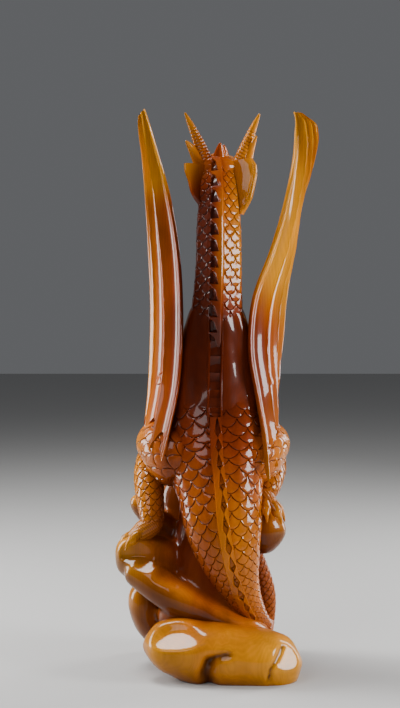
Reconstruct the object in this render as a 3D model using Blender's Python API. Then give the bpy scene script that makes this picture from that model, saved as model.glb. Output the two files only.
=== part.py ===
# Wooden dragon carving: a winged dragon crouched on a rock, its tail down the back of the rock.
# Metres, +Z up. The dragon faces +Y, so -Y is its back. The origin is on the floor, at the middle of the box.
# All of it is cut from one log, so every form below is united into one solid.
import math

import bmesh
import bpy
import numpy as np

# Driving dimensions
HEIGHT = 0.600  # floor to the tip of the left wing
WING_MEMBRANE = 0.0050  # thickness of a wing between its fingers
WING_FINGER = 0.0022  # how far a wing's finger stands out from the membrane
FRILL_THICKNESS = 0.0045  # thickness of the frills beside the head
SCALE_RISE = 0.0020  # how far the free edge of a scale stands out
CREST_RISE = 0.0065  # height of the teeth along the spine
CREST_WIDTH = 0.0095  # width of the crest where it leaves the back
CREST_TOOTH = 0.0175  # length of one tooth of the crest
HORN_RING = 0.0008  # depth of the rings cut round the horns
PLATE_LENGTH = 0.0200  # length of one plate of the belly
PLATE_RISE = 0.0022  # how far each plate overlaps the next
SUNK = 0.0040  # how far a crest or a belly plate reaches into the body
FRILL_FINGER = 0.0010  # how far a frill's finger stands out

# The figure's own unit, a six-hundredth of its height. The poses and proportions below are in it.
UNIT = HEIGHT / 600
# Where the middle of the carving's box is, seen from the log's axis
MIDDLE = (1.65, 2.8)

# The share of the triangles kept where the forms were united, which takes out the slivers along their seams
KEPT_TRIANGLES = 0.8

# Shares that shape the carving's details
ROUND_END = 0.8  # length of a form's rounded end, to its half width there
SMALLEST_RING = 0.2  # the last ring of a rounded end, to the form's own width
SCALE_EDGE = 0.62  # place of a scale's free edge past its widest row, in half widths of a scale
TOOTH_PEAK = 0.72  # place of a tooth's point along its length
TOOTH_DIP = 0.25  # height of the crest between two teeth, to the height of a tooth
PLATE_PEAK = 0.85  # place of a belly plate's free edge along its length
PLATE_DIP = 0.2  # height of a belly plate where it leaves the one above
ROOT_WIDTH = 0.8  # width of a crest's root inside the body, to its width outside
NUDGE = 0.01  # step along a form's length by which its direction is read

# Half widths, in units, from which a crest is at its full size, and widths for a wing's bulge and fingers
FULL_CREST = 20
FULL_BULGE = 60
FULL_FINGER = 40

WOOD_COLOUR = (0.42, 0.17, 0.035, 1.0)
WOOD_ROUGHNESS = 0.22

ACROSS = np.array((1.0, 0.0, 0.0))
AHEAD = np.array((0.0, 1.0, 0.0))
BACK, FRONT = 0.0, math.pi
BELLY_ANGLE = 2.1  # from the back, in radians, where the scales give way to the belly

# A station of a tube is its centre x, y, z, its half width, and its half depth on the back and on the front.
NECK = [
    (3, 20, 548, 13, 12, 12),
    (3, 11, 528, 18, 17, 18),
    (4, 3, 502, 21, 20, 20),
    (4, -2, 468, 23.5, 22, 21),
    (4, -3, 437, 24, 23, 22),
    (3, -1, 405, 25.5, 24, 24),
    (2, 4, 375, 28, 25, 28),
    (2, 10, 345, 28, 22, 28),
]
TORSO = [
    (2, 8, 378, 27, 18, 27),
    (2, 10, 348, 39, 26, 38),
    (1, 10, 308, 44, 29, 43),
    (1, 6, 274, 49, 33, 42),
    (2, 0, 240, 52, 38, 38),
]
TAIL = [
    (1, 7, 283, 46, 31, 40),
    (1, 4, 262, 51, 36, 40),
    (2, 0, 238, 54, 40, 38),
    (3, -8, 213, 51, 40, 34),
    (6, -18, 188, 45, 36, 30),
    (9, -28, 157, 41, 32, 26),
    (15, -32, 126, 33, 27, 22),
    (24, -30, 95, 23.5, 21, 18),
    (34, -25, 74, 17, 16, 14),
    (46, -17, 54, 12, 12, 11),
    (52, -10, 47, 10, 9, 9),
]
# The end of the tail turns up behind the slab and lies along the rock.
TAIL_END = [
    (44, -18, 58, 10.5, 10, 9),
    (54, -4, 42, 11, 10, 9),
    (57, 9, 50, 11, 10, 9),
    (57, 12, 78, 11.5, 10, 9),
    (52, 12, 104, 9.5, 9, 9),
    (43, 9, 128, 6.5, 6, 6),
    (34, 4, 142, 2.5, 2.5, 2.5),
]
# A leg is a thigh, a shin and a foot; its stations have one radius each.
LEFT_THIGH = [
    (-16, -4, 214, 36),
    (-42, 4, 230, 35),
    (-57, 18, 238, 29),
    (-66, 34, 232, 21),
    (-69, 40, 224, 16),
]
LEFT_SHIN = [
    (-66, 40, 232, 16),
    (-71, 19, 208, 16.5),
    (-70, -1, 186, 15),
    (-67, -13, 164, 12.5),
    (-66, -17, 152, 10),
]
LEFT_FOOT = [(-58, -16, 164, 10), (-71, -13, 153, 11.5), (-81, -8, 144, 10.5), (-90, -3, 136, 8)]
RIGHT_THIGH = [
    (16, -4, 214, 36),
    (42, 4, 230, 33),
    (55, 18, 238, 27),
    (62, 34, 232, 19),
    (63, 40, 226, 14),
]
RIGHT_SHIN = [(60, 38, 234, 15), (60, 18, 213, 17), (57, -2, 196, 13.5), (54, -12, 184, 10)]
RIGHT_FOOT = [(46, -10, 190, 9), (54, -15, 184, 9.5), (62, -17, 177, 8)]
FORELEG = [
    (28, 14, 334, 18),
    (48, 26, 302, 17),
    (56, 40, 268, 13),
    (48, 56, 248, 11.5),
    (36, 70, 234, 10.5),
    (32, 78, 230, 8),
]
# Each toe ends in a claw. Its row is the place of its root, its heading and its slope down in degrees.
TOE_LENGTH = 20
TOE_RADIUS = 5.2
CLAW_LENGTH = 9
LEFT_TOES = [((-76, -14, 147), -146, 27), ((-82, -6, 145), 178, 29), ((-80, 2, 145), 146, 27)]
RIGHT_TOES = [((52, -18, 183), -82, 40), ((57, -17, 181), -42, 44), ((57, -10, 182), -4, 46)]
FORE_TOES = [((29, 70, 233), 118, 22), ((34, 73, 233), 88, 24), ((40, 69, 234), 55, 24)]

# The head, from the nape to the nose. The half depths are below and above the centre line.
SKULL = [
    (3, 0, 541, 13, 13, 9),
    (3, 14, 544, 20, 19, 12),
    (3, 32, 542, 21, 19, 14),
    (3, 50, 536, 17, 13, 12),
    (3, 68, 530, 13.5, 9, 9),
    (3, 84, 527, 12, 8, 8),
    (3, 93, 525, 8, 5, 5),
]
JAW = [(3, 12, 530, 15, 12, 8), (3, 36, 520, 13.5, 7, 7), (3, 60, 514, 11, 5, 5), (3, 84, 511, 8, 4, 4)]
BROW = [(13, 26, 553, 3), (15, 40, 551, 5), (12, 56, 545, 3)]
EYE = (15.5, 45, 543, 5)
NOSTRIL = (6.5, 86, 533, 4)
CHIN_BEARD = [(3, 66, 514, 4.5), (3, 74, 502, 3.5), (3, 77, 490, 1)]
# A horn's root, its tip and its radius at the root
HORNS = [
    ((-10, 12, 545), (-32, 4, 597), 6.6),
    ((29, 12, 545), (47.5, 4, 596), 6.6),
    ((-16, 14, 543), (-31, 2, 564), 4.6),
    ((32, 14, 543), (44, 2, 569), 4.6),
]
HORN_RINGS = 5
HORN_BEND = (0.0, 3.0, 2.0)
HORN_TAPER = 0.68
HORN_TIP = 0.7
HORN_SPIKE = [((2, 14, 545), (1, 7, 559.5), 6.0), ((7, 16, 545), (9, 9, 556), 5.0)]

# A wing or a frill is a sheet between its rear edge and its front edge: x, y, z of each, from low to high.
LEFT_WING = [
    (-55, -21, 232, -75, 42, 262),
    (-49, -20, 260, -74, 49, 288),
    (-41, -17, 296, -72.5, 55, 318),
    (-36.5, -12, 342, -71.5, 58, 350),
    (-36, -10, 395, -71, 55, 396),
    (-39.5, -6, 447, -73, 48, 449),
    (-48.5, -1, 500, -75.5, 36, 502),
    (-63, 6, 553, -79, 22, 555),
    (-73.5, 10, 597, -83, 14, 599),
]
RIGHT_WING = [
    (56, -22, 211, 61, 34, 256),
    (53, -20, 250, 62, 46, 288),
    (45, -17, 292, 70, 55, 314),
    (37, -12, 340, 75, 58, 348),
    (41, -10, 395, 79, 55, 396),
    (60.5, -6, 447, 87, 48, 449),
    (77, -2, 500, 94, 38, 502),
    (85, 6, 548, 108, 24, 548),
    (85.5, 10, 574, 111, 16, 574),
    (85, 12, 594, 97, 14, 595),
]
# Where the fingers of a wing stand, as shares from its rear edge to its front edge
WING_FINGERS = (0.0, 0.29, 0.64, 1.0)
WING_BULGE = 5
LEFT_FRILL = [
    (-9, 6, 498, -15, -5, 496),
    (-12, 10, 512, -26, -4, 511),
    (-14, 14, 528, -31, 0, 527),
    (-14, 18, 542, -33.5, 4, 543),
    (-12, 20, 550, -27, 10, 553),
]
RIGHT_FRILL = [
    (22, 6, 488, 30, -5, 488),
    (19, 8, 500, 39, -4, 503),
    (18, 10, 515, 41.5, -2, 518),
    (19, 14, 530, 43, 1, 530),
    (19, 18, 542, 44, 4, 543),
    (18, 20, 550, 37, 10, 553),
]
FRILL_FINGERS = (0.0, 0.5, 1.0)
FRILL_BULGE = 2
ARM = [(22, 22, 352, 15), (44, 36, 322, 12), (64, 50, 300, 9)]

# The rock. Each form is a tube along its own length.
# Where it lies level, its half depths are above and below.
SLAB = [
    (-76, -50, 34, 9, 10, 10),
    (-67, -51, 34, 24, 22, 20),
    (-48, -52, 33, 34, 29, 29),
    (-12, -52, 30, 38, 32, 41),
    (25, -52, 26, 39, 31, 45),
    (60, -51, 22, 37, 27, 45),
    (82, -49, 16, 28, 19, 40),
    (92, -47, 14, 14, 10, 20),
]
ROCK_CORE = [
    (-6, 8, -30, 56, 42, 62),
    (-6, 8, 40, 54, 40, 60),
    (-4, 10, 90, 50, 40, 52),
    (0, 10, 140, 43, 34, 46),
    (1, 6, 185, 40, 26, 42),
    (1, 4, 218, 34, 22, 34),
]
FRONT_SLAB = [
    (-74, 48, 22, 12, 12, 16),
    (-60, 52, 24, 27, 26, 36),
    (-24, 57, 26, 33, 30, 45),
    (14, 56, 28, 34, 32, 45),
    (40, 52, 24, 28, 28, 45),
    (52, 50, 20, 12, 12, 24),
]
FRONT_BOULDER = [
    (-54, 40, 78, 12, 14, 16),
    (-38, 46, 82, 27, 30, 34),
    (2, 54, 92, 32, 36, 40),
    (34, 48, 100, 28, 30, 34),
    (50, 42, 102, 12, 14, 14),
]
FRONT_ROCK = [
    (-6, 38, 90, 46, 30, 34),
    (-12, 44, 140, 42, 28, 30),
    (-2, 50, 175, 44, 28, 26),
    (2, 56, 206, 43, 24, 26),
    (2, 60, 224, 38, 16, 20),
]
LEFT_BOULDER = [
    (-20, 12, 100, 26, 30, 30),
    (-55, 4, 112, 27, 28, 28),
    (-86, 0, 116, 28, 28, 30),
    (-108, -2, 110, 13, 15, 19),
]
LEFT_ROOT = [
    (-92, -8, 112, 16, 16, 16),
    (-66, -26, 99, 18, 21, 19),
    (-34, -38, 84, 18, 21, 19),
    (2, -40, 70, 17, 19, 18),
    (36, -34, 52, 14, 15, 15),
]
LEFT_LUMP = [
    (-50, 16, 24, 14, 18, 16),
    (-63, 12, 40, 19, 25, 25),
    (-76, 8, 66, 19, 22, 24),
    (-70, 8, 92, 14, 16, 18),
]
LEFT_KNOB = [(-36, 20, 130, 18), (-66, 24, 156, 15), (-82, 23, 173, 12), (-91, 22, 180, 7)]
RIGHT_KNOB = [
    (2, 14, 146, 22, 22, 22),
    (34, 4, 149, 20, 24, 24),
    (60, -4, 148, 22, 26, 25),
    (78, -7, 147, 11, 13, 12),
]
RIGHT_ROOT = [
    (26, 22, -30, 28, 34, 34),
    (26, 20, 30, 26, 26, 30),
    (26, 14, 80, 24, 22, 28),
    (30, 10, 120, 18, 18, 24),
]


def read_curve(rows, at):
    """Rows of numbers, read at shares of the way along a smooth curve. The first three are a place."""
    rows = np.array(rows, float)
    reach = np.concatenate([[0.0], np.cumsum(np.linalg.norm(np.diff(rows[:, :3], axis=0), axis=1))])
    slope = np.gradient(rows, reach, axis=0)
    place = np.clip(at, 0, 1) * reach[-1]
    i = np.clip(np.searchsorted(reach, place, side="right") - 1, 0, len(rows) - 2)
    span = (reach[i + 1] - reach[i])[:, None]
    t = (place - reach[i])[:, None] / span
    return (
        (2 * t**3 - 3 * t**2 + 1) * rows[i]
        + (t**3 - 2 * t**2 + t) * span * slope[i]
        + (3 * t**2 - 2 * t**3) * rows[i + 1]
        + (t**3 - t**2) * span * slope[i + 1]
    )


def unit_rows(rows):
    return rows / np.linalg.norm(rows, axis=1, keepdims=True)


def full_stations(stations):
    """Stations with one radius are given it as half width and both half depths."""
    return [row if len(row) == 6 else (*row, row[3], row[3]) for row in stations]


def mirrored(stations):
    return [(-row[0], *row[1:]) for row in stations]


class Tube:
    """A lofted form read from its stations at shares of its length."""

    def __init__(self, stations, side, at):
        stations = full_stations(stations)
        at = np.asarray(at, float)
        rows = read_curve(stations, at) * UNIT
        self.centre, self.width, self.behind, self.before = rows[:, :3], rows[:, 3], rows[:, 4], rows[:, 5]
        tangent = read_curve(stations, at + NUDGE)[:, :3] - read_curve(stations, at - NUDGE)[:, :3]
        self.tangent = unit_rows(tangent)
        self.side = unit_rows(side - (self.tangent @ side)[:, None] * self.tangent)
        self.back = np.cross(self.tangent, self.side)

    def point(self, ring, angle, rise=0.0):
        """A point of the surface, at an angle from the back, lifted by rise."""
        out, away = math.sin(angle), math.cos(angle)
        depth = self.behind[ring] if away > 0 else self.before[ring]
        return (
            self.centre[ring]
            + self.side[ring] * out * (self.width[ring] + rise)
            + self.back[ring] * away * (depth + rise)
        )

    def length(self):
        return np.concatenate([[0.0], np.cumsum(np.linalg.norm(np.diff(self.centre, axis=0), axis=1))])

    def girth(self):
        return math.pi * (self.width + (self.behind + self.before) / 2)


def new_form(name, points, faces):
    """A closed form as an object, with its faces turned to point out."""
    mesh = bpy.data.meshes.new(name)
    mesh.from_pydata([tuple(p - UNIT * np.array((*MIDDLE, 0.0))) for p in points], [], faces)
    work = bmesh.new()
    work.from_mesh(mesh)
    bmesh.ops.triangulate(work, faces=work.faces)
    bmesh.ops.recalc_face_normals(work, faces=work.faces)
    work.to_mesh(mesh)
    work.free()
    form = bpy.data.objects.new(name, mesh)
    bpy.context.scene.collection.objects.link(form)
    return form


def close_end(points, ring):
    """A fan that closes a ring of points, given by their numbers. Adds its middle point."""
    points.append(np.mean([points[n] for n in ring], axis=0))
    return [(ring[n], ring[(n + 1) % len(ring)], len(points) - 1) for n in range(len(ring))]


def smooth_tube(name, stations, side, rings, sides):
    """A plain lofted form with rounded ends."""
    at = (1 - np.cos(np.linspace(0, math.pi, rings))) / 2
    tube = Tube(stations, side, at)
    reach = tube.length()
    points = []
    for ring in range(rings):
        # The ends close in a round as long as the form is wide there.
        from_end = min(reach[ring], reach[-1] - reach[ring])
        share = min(from_end / (ROUND_END * tube.width[ring]), 1.0)
        shrink = max(math.sqrt(1 - (1 - share) ** 2), SMALLEST_RING)
        for n in range(sides):
            out = tube.point(ring, 2 * math.pi * n / sides) - tube.centre[ring]
            points.append(tube.centre[ring] + out * shrink)
    faces = [
        (a * sides + b, a * sides + (b + 1) % sides, (a + 1) * sides + (b + 1) % sides, (a + 1) * sides + b)
        for a in range(rings - 1)
        for b in range(sides)
    ]
    faces += close_end(points, list(range(sides)))
    faces += close_end(points, list(range((rings - 1) * sides, rings * sides)))
    return new_form(name, points, faces)


def scale_rows(stations, side, around):
    """Shares of a tube's length, half a scale's width apart, and the shares where scales have free edges."""
    fine = np.linspace(0, 1, 400)
    tube = Tube(stations, side, fine)
    width = (tube.girth()[1:] + tube.girth()[:-1]) / 2 / around
    count = np.concatenate([[0.0], np.cumsum(np.diff(tube.length()) / (width / 2))])
    rows = np.linspace(0, count[-1], int(count[-1]) + 1)
    return np.interp(rows, count, fine), np.interp(rows + SCALE_EDGE, count, fine)


def scaled_tube(name, stations, side, around, rise):
    """A tube covered in overlapping scales, so many around it. Each is a lozenge with its free edge lifted.
    rise(share, angle) says how far, at a share of the length and an angle from the back."""
    at, edges = scale_rows(stations, side, around)
    base, lifted = Tube(stations, side, at), Tube(stations, side, edges)
    rows = len(at)
    step = 2 * math.pi / around
    points = [base.point(row, (n + row % 2 / 2) * step) for row in range(rows) for n in range(around)]
    faces = []
    for row in range(rows):
        for n in range(around):
            left, right = row * around + n, row * around + (n + 1) % around
            middle = (n + row % 2) % around
            above, below = (row - 1) * around + middle, (row + 1) * around + middle
            angle = (n + 0.5 + row % 2 / 2) * step
            lift = rise(at[row], math.remainder(angle, 2 * math.pi))
            if row == 0:
                faces.append((left, below, right))
            elif row == rows - 1:
                faces.append((left, right, above))
            elif lift == 0:
                faces += [(above, left, below), (above, below, right)]
            else:
                points.append(lifted.point(row, angle, lift))
                crown = len(points) - 1
                corners = (above, right, below, left)
                faces += [(corners[k - 1], corners[k], crown) for k in range(4)]
    faces += close_end(points, list(range(around)))
    faces += close_end(points, list(range((rows - 1) * around, rows * around)))
    return new_form(name, points, faces)


def strip(name, stations, side, at, middle, half_angle, rises):
    """A raised strip along a tube, centred on an angle from its back. rises has a row of heights for each
    share in at, one for each point across. Its underside is sunk into the tube."""
    tube = Tube(stations, side, at)
    across = len(rises[0])
    loop = across + 2
    points = []
    for ring, heights in enumerate(rises):
        for n, height in enumerate(heights):
            points.append(tube.point(ring, middle + half_angle[ring] * (2 * n / (across - 1) - 1), height))
        for hand in (1, -1):
            points.append(tube.point(ring, middle + half_angle[ring] * ROOT_WIDTH * hand, -SUNK))
    faces = [
        (a * loop + b, a * loop + (b + 1) % loop, (a + 1) * loop + (b + 1) % loop, (a + 1) * loop + b)
        for a in range(len(rises) - 1)
        for b in range(loop)
    ]
    faces += close_end(points, list(range(loop)))
    faces += close_end(points, list(range((len(rises) - 1) * loop, len(rises) * loop)))
    return new_form(name, points, faces)


def shares_at(stations, side, start, end, pitch):
    """Shares of a tube's length from start to end, pitch apart."""
    fine = np.linspace(start, end, 300)
    reach = Tube(stations, side, fine).length()
    count = max(round(reach[-1] / pitch), 1)
    return np.interp(np.linspace(0, reach[-1], count + 1), reach, fine)


def crest(name, stations, start, end):
    """Teeth along the back of a tube: each rises slowly and drops sharply."""
    teeth = shares_at(stations, ACROSS, start, end, CREST_TOOTH)
    at, heights = [], []
    for low, high in zip(teeth[:-1], teeth[1:]):
        at += [low, low + (high - low) * TOOTH_PEAK]
        heights += [CREST_RISE * TOOTH_DIP, CREST_RISE]
    at.append(teeth[-1])
    heights.append(CREST_RISE * TOOTH_DIP)
    tube = Tube(stations, ACROSS, at)
    taper = np.clip(tube.width / (FULL_CREST * UNIT), 0.3, 1.0)
    half_angle = CREST_WIDTH / 2 * taper / tube.width
    rises = [(-SUNK / 3, height * thin, -SUNK / 3) for height, thin in zip(heights, taper)]
    return strip(name, stations, ACROSS, at, BACK, half_angle, rises)


def belly(name, stations, start, end, half_angle):
    """Broad plates across the front of a tube, each overlapping the next."""
    plates = shares_at(stations, ACROSS, start, end, PLATE_LENGTH)
    at, rises = [], []
    for low, high in zip(plates[:-1], plates[1:]):
        at += [low, low + (high - low) * PLATE_PEAK]
        for height in (PLATE_RISE * PLATE_DIP, PLATE_RISE):
            rises.append((-SUNK / 3, height, height, -SUNK / 3))
    at.append(plates[-1])
    rises.append((-SUNK / 3,) * 4)
    return strip(name, stations, ACROSS, at, FRONT, [half_angle] * len(at), rises)


def sheet(name, edges, thickness, fingers, finger_rise, bulge, rows, outward):
    """A wing or a frill: a sheet between two edges, with fingers along it at shares from edge to edge.
    Between two fingers the membrane is hollowed. outward is the side, -1 or 1 in x, to which it bulges."""
    per_gap = 3 if len(fingers) > 3 else 2
    shares = [1.0]
    for a, b in zip(reversed(fingers[:-1]), reversed(fingers[1:])):
        shares = [a + (b - a) * n / per_gap for n in range(per_gap)] + shares
    hollow = [1 - math.sin(math.pi * (n % per_gap) / per_gap) for n in range(len(shares))]
    at = np.linspace(0, 1, rows)
    read = read_curve(edges, at) * UNIT
    ahead = read_curve(edges, at + NUDGE) * UNIT
    below = read_curve(edges, at - NUDGE) * UNIT
    outer, inner = [], []
    for row in range(rows):
        rear, front = read[row, :3], read[row, 3:]
        chord = front - rear
        width = np.linalg.norm(chord)
        for share, ridge in zip(shares, hollow):
            step = ahead[row] - below[row]
            along = step[:3] * (1 - share) + step[3:] * share
            normal = np.cross(along, chord)
            normal *= math.copysign(1, normal[0] * outward) / np.linalg.norm(normal)
            swell = bulge * UNIT * min(width / (FULL_BULGE * UNIT), 1) * math.sin(math.pi * share)
            middle = rear + chord * share + normal * swell
            half = thickness / 2 + finger_rise * ridge * min(width / (FULL_FINGER * UNIT), 1)
            outer.append(middle + normal * half)
            inner.append(middle - normal * half)
    columns = len(shares)
    count = rows * columns
    faces = []
    for a in range(rows - 1):
        for b in range(columns - 1):
            quad = (a * columns + b, a * columns + b + 1, (a + 1) * columns + b + 1, (a + 1) * columns + b)
            faces += [quad, tuple(count + n for n in reversed(quad))]
    rim = list(range(columns))
    rim += [a * columns + columns - 1 for a in range(1, rows)]
    rim += [(rows - 1) * columns + b for b in range(columns - 2, -1, -1)]
    rim += [a * columns for a in range(rows - 2, 0, -1)]
    for a, b in zip(rim, rim[1:] + rim[:1]):
        faces.append((b, a, count + a, count + b))
    return new_form(name, outer + inner, faces)


def horn(name, root, tip, radius, rings):
    """A horn that tapers to a point and bends back a little, with rings cut round it."""
    root, tip = np.array(root, float), np.array(tip, float)
    sides = 6
    stations = []
    for share in (0.0, 0.25, 0.5, 0.75, 1.0):
        place = root + (tip - root) * share + np.array(HORN_BEND) * math.sin(math.pi * share)
        stations.append((*place, radius * (1 - share) ** HORN_TAPER + HORN_TIP))
    at = np.linspace(0, 1, 2 * rings + 1)
    tube = Tube(stations, ACROSS, at)
    points = []
    for ring in range(len(at)):
        cut = -HORN_RING if ring % 2 and ring < 1.5 * rings else 0.0
        points += [tube.point(ring, 2 * math.pi * n / sides, cut) for n in range(sides)]
    faces = [
        (a * sides + b, a * sides + (b + 1) % sides, (a + 1) * sides + (b + 1) % sides, (a + 1) * sides + b)
        for a in range(len(at) - 1)
        for b in range(sides)
    ]
    faces += close_end(points, list(range(sides)))
    faces += close_end(points, list(range((len(at) - 1) * sides, len(at) * sides)))
    return new_form(name, points, faces)


def ball(name, place, radius):
    """A small round form, for an eye or a nostril."""
    top = (place[0], place[1], place[2] + radius)
    bottom = (place[0], place[1], place[2] - radius)
    return smooth_tube(name, [(*bottom, radius), (*place, radius), (*top, radius)], ACROSS, 4, 6)


def toe(name, root, heading, slope):
    """A toe with a claw at its end, from its root outward and down."""
    root = np.array(root, float)
    turn, fall = math.radians(heading), math.radians(slope)
    ahead = np.array((math.cos(turn) * math.cos(fall), math.sin(turn) * math.cos(fall), -math.sin(fall)))
    down = np.array((0.0, 0.0, -1.0))
    side = np.array((-math.sin(turn), math.cos(turn), 0.0))
    knuckle = root + ahead * TOE_LENGTH * 0.55 + (0, 0, 2.0)
    end = root + ahead * TOE_LENGTH
    claw = end + (ahead + down) * CLAW_LENGTH * 0.6
    stations = [
        (*root, TOE_RADIUS),
        (*knuckle, TOE_RADIUS),
        (*end, TOE_RADIUS * 0.8),
        (*claw, TOE_RADIUS * 0.25),
    ]
    return smooth_tube(name, stations, side, 5, 5)


def rocks():
    return [
        smooth_tube("slab", SLAB, AHEAD, 10, 13),
        smooth_tube("rock_core", ROCK_CORE, ACROSS, 7, 10),
        smooth_tube("front_slab", FRONT_SLAB, AHEAD, 7, 9),
        smooth_tube("front_boulder", FRONT_BOULDER, AHEAD, 7, 9),
        smooth_tube("front_rock", FRONT_ROCK, ACROSS, 6, 9),
        smooth_tube("left_boulder", LEFT_BOULDER, AHEAD, 7, 10),
        smooth_tube("left_root", LEFT_ROOT, AHEAD, 7, 8),
        smooth_tube("left_lump", LEFT_LUMP, ACROSS, 6, 8),
        smooth_tube("left_knob", LEFT_KNOB, AHEAD, 6, 7),
        smooth_tube("right_knob", RIGHT_KNOB, AHEAD, 7, 10),
        smooth_tube("right_root", RIGHT_ROOT, ACROSS, 6, 8),
    ]


def head():
    forms = [smooth_tube("skull", SKULL, ACROSS, 9, 12), smooth_tube("jaw", JAW, ACROSS, 6, 8)]
    forms.append(smooth_tube("beard", CHIN_BEARD, ACROSS, 5, 6))
    middle = SKULL[0][0]
    for label, hand in (("left", -1), ("right", 1)):
        brow = [(middle + hand * row[0], *row[1:]) for row in BROW]
        forms.append(smooth_tube(label + "_brow", brow, ACROSS, 5, 5))
        forms.append(ball(label + "_eye", (middle + hand * EYE[0], *EYE[1:3]), EYE[3]))
        forms.append(ball(label + "_nostril", (middle + hand * NOSTRIL[0], *NOSTRIL[1:3]), NOSTRIL[3]))
    for n, (root, tip, radius) in enumerate(HORNS):
        forms.append(horn(f"horn_{n}", root, tip, radius, HORN_RINGS if n < 2 else 2))
    for n, (root, tip, radius) in enumerate(HORN_SPIKE):
        forms.append(horn(f"head_spike_{n}", root, tip, radius, 2))
    for name, edges, hand in (("left_frill", LEFT_FRILL, -1), ("right_frill", RIGHT_FRILL, 1)):
        forms.append(sheet(name, edges, FRILL_THICKNESS, FRILL_FINGERS, FRILL_FINGER, FRILL_BULGE, 5, hand))
    return forms


def body():
    def rise(share, angle):
        return SCALE_RISE if abs(angle) < BELLY_ANGLE else 0.0

    return [
        scaled_tube("neck", NECK, ACROSS, 9, rise),
        smooth_tube("torso", TORSO, ACROSS, 7, 14),
        scaled_tube("tail", TAIL, ACROSS, 12, rise),
        scaled_tube("tail_end", TAIL_END, ACROSS, 6, lambda share, angle: SCALE_RISE),
        crest("neck_crest", NECK, 0.12, 0.95),
        crest("torso_crest", TORSO, 0.10, 0.80),
        crest("tail_crest", TAIL, 0.10, 0.99),
        belly("neck_belly", NECK, 0.22, 0.97, 0.75),
        belly("torso_belly", TORSO, 0.12, 0.95, 0.85),
    ]


def legs():
    forms = []
    for label, thigh, shin, foot, toes in (
        ("left", LEFT_THIGH, LEFT_SHIN, LEFT_FOOT, LEFT_TOES),
        ("right", RIGHT_THIGH, RIGHT_SHIN, RIGHT_FOOT, RIGHT_TOES),
    ):
        forms.append(smooth_tube(label + "_thigh", thigh, AHEAD, 8, 12))
        forms.append(smooth_tube(label + "_shin", shin, ACROSS, 7, 8))
        forms.append(smooth_tube(label + "_foot", foot, AHEAD, 6, 8))
        forms += [toe(f"{label}_toe_{n}", *place) for n, place in enumerate(toes)]
    for label, hand in (("left", -1), ("right", 1)):
        stations = FORELEG if hand > 0 else mirrored(FORELEG)
        forms.append(smooth_tube(label + "_foreleg", stations, ACROSS, 8, 7))
        for n, (root, heading, slope) in enumerate(FORE_TOES):
            if hand < 0:
                root, heading = (-root[0], *root[1:]), 180 - heading
            forms.append(toe(f"{label}_fore_toe_{n}", root, heading, slope))
    return forms


def wings():
    forms = []
    for label, edges, hand in (("left", LEFT_WING, -1), ("right", RIGHT_WING, 1)):
        name = label + "_wing"
        forms.append(sheet(name, edges, WING_MEMBRANE, WING_FINGERS, WING_FINGER, WING_BULGE, 12, hand))
        arm = ARM if hand > 0 else mirrored(ARM)
        forms.append(smooth_tube(label + "_wing_arm", arm, AHEAD, 6, 8))
    return forms


def wood():
    made = bpy.data.materials.new("varnished_wood")
    made.use_nodes = True
    shader = made.node_tree.nodes["Principled BSDF"]
    shader.inputs["Base Color"].default_value = WOOD_COLOUR
    shader.inputs["Roughness"].default_value = WOOD_ROUGHNESS
    shader.inputs["Metallic"].default_value = 0.0
    return made


def below_floor():
    """A block under the floor, which cuts the rock off flat."""
    reach, deep = 250 * UNIT, 100 * UNIT
    corners = [np.array((x, y, z)) for z in (-deep, 0.0) for y in (-reach, reach) for x in (-reach, reach)]
    faces = [(0, 2, 3, 1), (4, 5, 7, 6), (0, 1, 5, 4), (2, 6, 7, 3), (0, 4, 6, 2), (1, 3, 7, 5)]
    return new_form("below_floor", corners, faces)


def combine(carving, form, operation):
    """Unites a form with the carving, or cuts it away."""
    form.hide_render = True
    form.display_type = "WIRE"
    step = carving.modifiers.new(form.name, "BOOLEAN")
    step.operation = operation
    step.solver = "MANIFOLD"
    step.object = form


def main():
    for old in list(bpy.data.objects):
        bpy.data.objects.remove(old)
    forms = rocks() + body() + legs() + wings() + head()
    carving = forms[0]
    carving.name = "dragon_carving"
    carving.data.materials.append(wood())
    for form in forms[1:]:
        combine(carving, form, "UNION")
    combine(carving, below_floor(), "DIFFERENCE")
    slivers = carving.modifiers.new("fewer_slivers", "DECIMATE")
    slivers.ratio = KEPT_TRIANGLES


main()
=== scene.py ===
# The looks of the wooden dragon carving: scales, crest, pleated wings, horns, rock and varnished wood.
# Every form follows the stations that the solid is built from, so the pieces lie where the solid does.
import math

import bmesh
import bpy
import numpy as np
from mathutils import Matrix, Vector, noise


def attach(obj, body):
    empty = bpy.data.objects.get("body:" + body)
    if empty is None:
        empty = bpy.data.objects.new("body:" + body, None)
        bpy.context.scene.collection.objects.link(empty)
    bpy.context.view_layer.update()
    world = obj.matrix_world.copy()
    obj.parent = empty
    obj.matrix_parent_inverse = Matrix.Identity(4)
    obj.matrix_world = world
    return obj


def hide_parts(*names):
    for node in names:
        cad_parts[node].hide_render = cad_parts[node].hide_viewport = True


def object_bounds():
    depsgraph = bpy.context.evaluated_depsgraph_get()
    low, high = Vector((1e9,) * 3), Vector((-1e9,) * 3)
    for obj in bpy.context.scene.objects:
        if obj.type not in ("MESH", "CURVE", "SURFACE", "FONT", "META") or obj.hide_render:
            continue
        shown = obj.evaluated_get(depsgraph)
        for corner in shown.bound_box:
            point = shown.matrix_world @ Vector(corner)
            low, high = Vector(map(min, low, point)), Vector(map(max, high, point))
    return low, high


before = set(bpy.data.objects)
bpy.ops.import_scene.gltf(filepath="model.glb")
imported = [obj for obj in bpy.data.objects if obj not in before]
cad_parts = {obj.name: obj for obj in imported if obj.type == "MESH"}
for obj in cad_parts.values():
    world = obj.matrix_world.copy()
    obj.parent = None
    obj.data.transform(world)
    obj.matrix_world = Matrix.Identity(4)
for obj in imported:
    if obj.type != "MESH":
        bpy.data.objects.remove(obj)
cad_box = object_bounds()
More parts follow.
